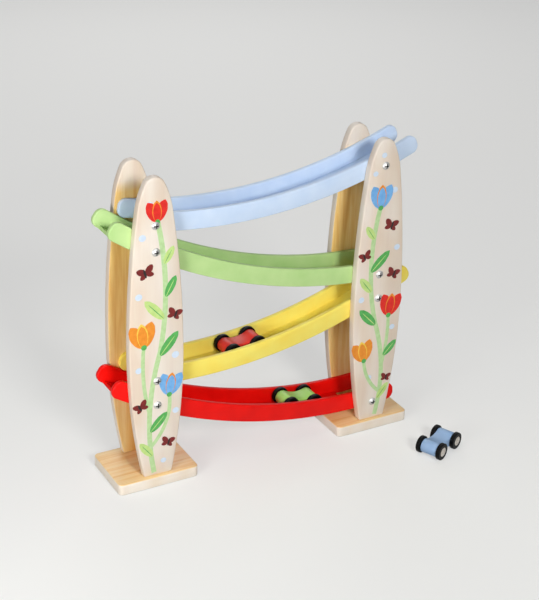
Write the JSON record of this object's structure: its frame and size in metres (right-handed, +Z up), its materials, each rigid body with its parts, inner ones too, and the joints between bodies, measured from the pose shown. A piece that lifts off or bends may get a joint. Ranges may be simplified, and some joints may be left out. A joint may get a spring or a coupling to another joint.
{
  "type": "click clack track toy",
  "caption": "Free-standing wooden race track toy: leaf-shaped posts on flat bases carry curved channel tracks, and small two-axled cars roll down and drop from track to track.",
  "frame": {"origin": "bottom centre of the box round the stand and its cars, on the floor", "axes": "+X along the tracks to the right, +Y to the back, +Z up"},
  "size_m": [0.3156, 0.1385, 0.287],
  "materials": {
    "base_wood": "clear satin lacquer",
    "post_wood": "clear satin lacquer",
    "printed_post_wood": "pale printed face, clear satin lacquer",
    "blue_track_paint": "gloss paint",
    "green_track_paint": "gloss paint",
    "yellow_track_paint": "gloss paint",
    "red_track_paint": "gloss paint",
    "red_car_paint": "gloss paint",
    "green_car_paint": "gloss paint",
    "blue_car_paint": "gloss paint",
    "wheel_black": "smooth moulded",
    "axle_steel": "drawn bright",
    "hub_cap_steel": "pressed bright",
    "screw_steel": "zinc plated"
  },
  "bodies": {
    "stand": {"left_base": "base_wood", "right_base": "base_wood", "left_front_post": "printed_post_wood", "left_back_post": "post_wood", "right_front_post": "printed_post_wood", "right_back_post": "post_wood", "blue_track_front_rail": "blue_track_paint", "blue_track_back_rail": "blue_track_paint", "blue_track_floor": "blue_track_paint", "green_track_front_rail": "green_track_paint", "green_track_back_rail": "green_track_paint", "green_track_floor": "green_track_paint", "yellow_track_front_rail": "yellow_track_paint", "yellow_track_back_rail": "yellow_track_paint", "yellow_track_floor": "yellow_track_paint", "red_track_front_rail": "red_track_paint", "red_track_back_rail": "red_track_paint", "red_track_floor": "red_track_paint", "left_front_track_screws": "screw_steel", "left_back_track_screws": "screw_steel", "right_front_track_screws": "screw_steel", "right_back_track_screws": "screw_steel", "left_base_screws": "screw_steel", "right_base_screws": "screw_steel"},
    "red_car": {"red_car_body": "red_car_paint"},
    "red_car_front_wheel_set": {"red_car_front_axle": "axle_steel", "red_car_front_wheels": "wheel_black", "red_car_front_hub_caps": "hub_cap_steel"},
    "red_car_rear_wheel_set": {"red_car_rear_axle": "axle_steel", "red_car_rear_wheels": "wheel_black", "red_car_rear_hub_caps": "hub_cap_steel"},
    "green_car": {"green_car_body": "green_car_paint"},
    "green_car_front_wheel_set": {"green_car_front_axle": "axle_steel", "green_car_front_wheels": "wheel_black", "green_car_front_hub_caps": "hub_cap_steel"},
    "green_car_rear_wheel_set": {"green_car_rear_axle": "axle_steel", "green_car_rear_wheels": "wheel_black", "green_car_rear_hub_caps": "hub_cap_steel"},
    "blue_car": {"blue_car_body": "blue_car_paint"},
    "blue_car_front_wheel_set": {"blue_car_front_axle": "axle_steel", "blue_car_front_wheels": "wheel_black", "blue_car_front_hub_caps": "hub_cap_steel"},
    "blue_car_rear_wheel_set": {"blue_car_rear_axle": "axle_steel", "blue_car_rear_wheels": "wheel_black", "blue_car_rear_hub_caps": "hub_cap_steel"}
  },
  "joints": [
    {"name": "red_car_run", "type": "hinge", "parent": "stand", "child": "red_car", "pos_m": [-0.07228, 0.03925, 0.54873], "axis": [0, -1, 0], "range_deg": [-6.5, 19]},
    {"name": "red_car_front_wheels_turn", "type": "hinge", "parent": "red_car", "child": "red_car_front_wheel_set", "pos_m": [-0.01417, 0.03925, 0.10683], "axis": [0, 1, 0], "continuous": true},
    {"name": "red_car_rear_wheels_turn", "type": "hinge", "parent": "red_car", "child": "red_car_rear_wheel_set", "pos_m": [-0.03904, 0.03925, 0.10427], "axis": [0, 1, 0], "continuous": true},
    {"name": "green_car_run", "type": "hinge", "parent": "stand", "child": "green_car", "pos_m": [0.08909, 0.03925, 0.47611], "axis": [0, -1, 0], "range_deg": [-23.1, 4.5]},
    {"name": "green_car_front_wheels_turn", "type": "hinge", "parent": "green_car", "child": "green_car_front_wheel_set", "pos_m": [0.04667, 0.03925, 0.03244], "axis": [0, 1, 0], "continuous": true},
    {"name": "green_car_rear_wheels_turn", "type": "hinge", "parent": "green_car", "child": "green_car_rear_wheel_set", "pos_m": [0.02186, 0.03925, 0.03551], "axis": [0, 1, 0], "continuous": true},
    {"name": "blue_car_run", "type": "slide", "parent": "stand", "child": "blue_car", "axis": [0.9135, 0.4067, 0], "range_m": [-0.08, 0.08]},
    {"name": "blue_car_front_wheels_turn", "type": "hinge", "parent": "blue_car", "child": "blue_car_front_wheel_set", "pos_m": [0.14564, -0.04467, 0.008], "axis": [-0.4067, 0.9135, 0], "continuous": true},
    {"name": "blue_car_rear_wheels_turn", "type": "hinge", "parent": "blue_car", "child": "blue_car_rear_wheel_set", "pos_m": [0.1228, -0.05483, 0.008], "axis": [-0.4067, 0.9135, 0], "continuous": true}
  ],
  "couplings": [
    {"joint": "red_car_front_wheels_turn", "follows": "red_car_run", "ratio": 56.75},
    {"joint": "red_car_rear_wheels_turn", "follows": "red_car_run", "ratio": 56.75},
    {"joint": "green_car_front_wheels_turn", "follows": "green_car_run", "ratio": 56.75},
    {"joint": "green_car_rear_wheels_turn", "follows": "green_car_run", "ratio": 56.75},
    {"joint": "blue_car_front_wheels_turn", "follows": "blue_car_run", "rad_per_m": 125},
    {"joint": "blue_car_rear_wheels_turn", "follows": "blue_car_run", "rad_per_m": 125}
  ]
}
